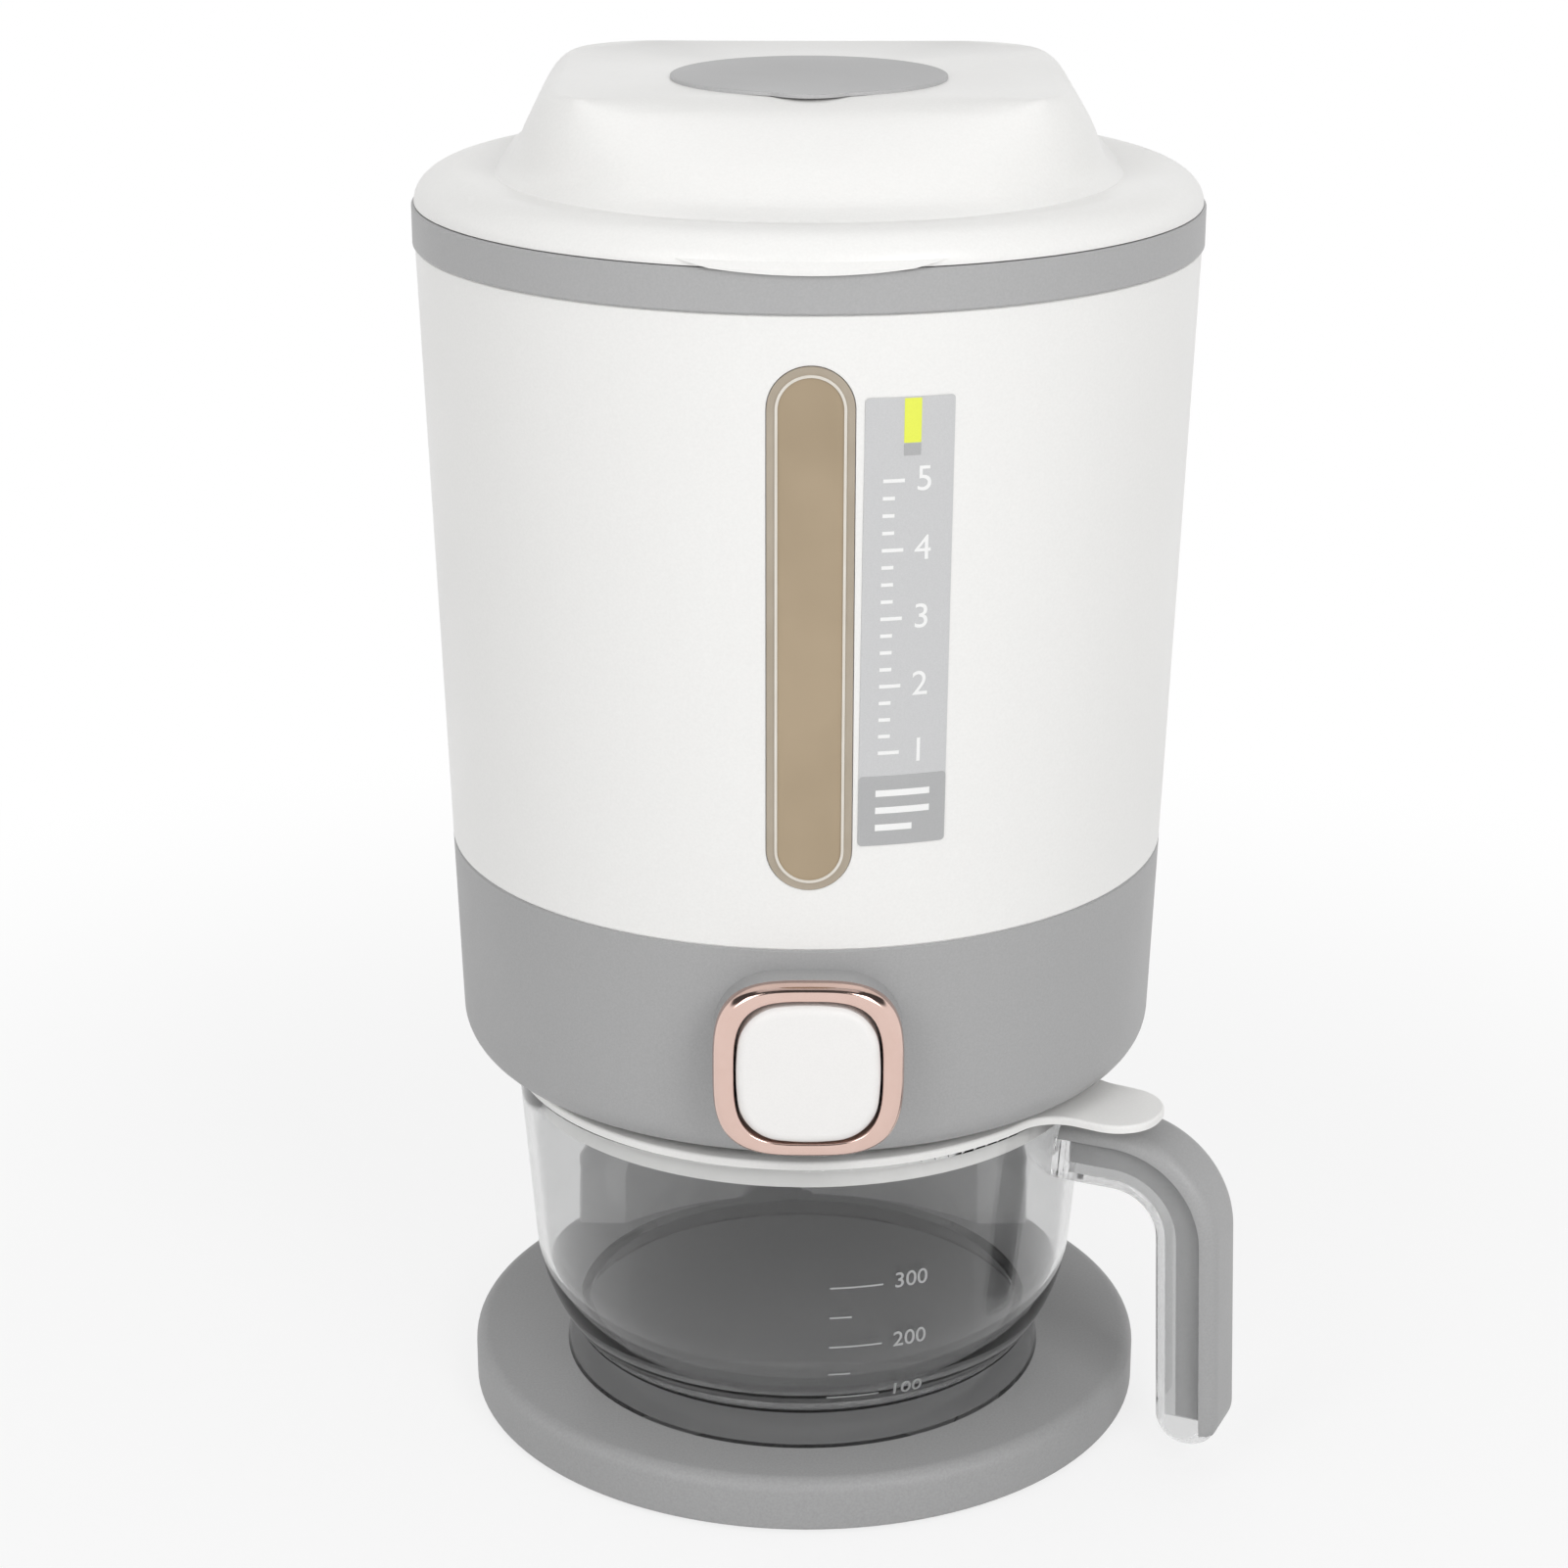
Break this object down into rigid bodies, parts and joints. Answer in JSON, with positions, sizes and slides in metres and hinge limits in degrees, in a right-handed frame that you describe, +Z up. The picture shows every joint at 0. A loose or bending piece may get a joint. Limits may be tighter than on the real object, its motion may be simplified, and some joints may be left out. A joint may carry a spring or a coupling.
{
  "type": "rice dispenser",
  "caption": "Round rice hopper with a hinged lid and sight window on a rear column, a push button that opens a sliding gate, and a lidded measuring cup.",
  "frame": {"origin": "middle of the underside of the base pad, on the axis of the base and hopper", "axes": "+Z up, the push button faces -Y, the cup handle points to +X and a little forward"},
  "size_m": [0.2252, 0.221, 0.3812],
  "materials": {
    "white_plastic": "satin white moulding",
    "grey_plastic": "satin mid grey moulding",
    "base_plastic": "satin grey moulding",
    "rose_metal": "rose gold plated ring",
    "amber_clear": "tinted clear",
    "clear_plastic": "clear polished",
    "soft_rubber": "matt soft rubber",
    "steel": "plain steel"
  },
  "bodies": {
    "stand": {"base": "base_plastic", "base_plate": "base_plastic", "base_pad": "soft_rubber", "base_screws": "steel", "column": "base_plastic", "column_cover": "base_plastic", "column_screws": "steel", "lower_housing": "grey_plastic", "funnel_seat": "grey_plastic", "funnel": "white_plastic", "gate_frame": "white_plastic", "frame_screws": "steel", "button_collar": "grey_plastic", "button_bezel": "rose_metal", "return_spring": "steel", "hopper": "white_plastic", "sight_window": "amber_clear", "rim_band": "grey_plastic", "hinge_pin": "steel"},
    "lid": {"lid": "white_plastic", "lid_ring": "white_plastic", "lid_gasket": "soft_rubber", "absorber_cup": "white_plastic"},
    "cap": {"absorber_cap": "grey_plastic"},
    "push_gate": {"button": "white_plastic", "button_stem": "white_plastic", "stem_screw": "steel", "gate_slide": "white_plastic"},
    "cup": {"cup": "clear_plastic", "cup_handle": "clear_plastic", "handle_insert": "grey_plastic", "cup_lid": "white_plastic"}
  },
  "joints": [
    {"name": "lid_hinge", "type": "hinge", "parent": "stand", "child": "lid", "pos_m": [0, 0.1105, 0.346], "axis": [-1, 0, 0], "range_deg": [0, 100]},
    {"name": "cap_lift", "type": "slide", "parent": "lid", "child": "cap", "axis": [0, 0, 1], "range_m": [0, 0.03]},
    {"name": "button_press", "type": "slide", "parent": "stand", "child": "push_gate", "axis": [0, 1, 0], "range_m": [0, 0.012], "stiffness_N_per_m": 350, "springref_m": -0.004, "deforming": ["return_spring"]},
    {"name": "cup_slide", "type": "slide", "parent": "stand", "child": "cup", "axis": [0, -1, 0], "range_m": [0, 0.2]}
  ]
}
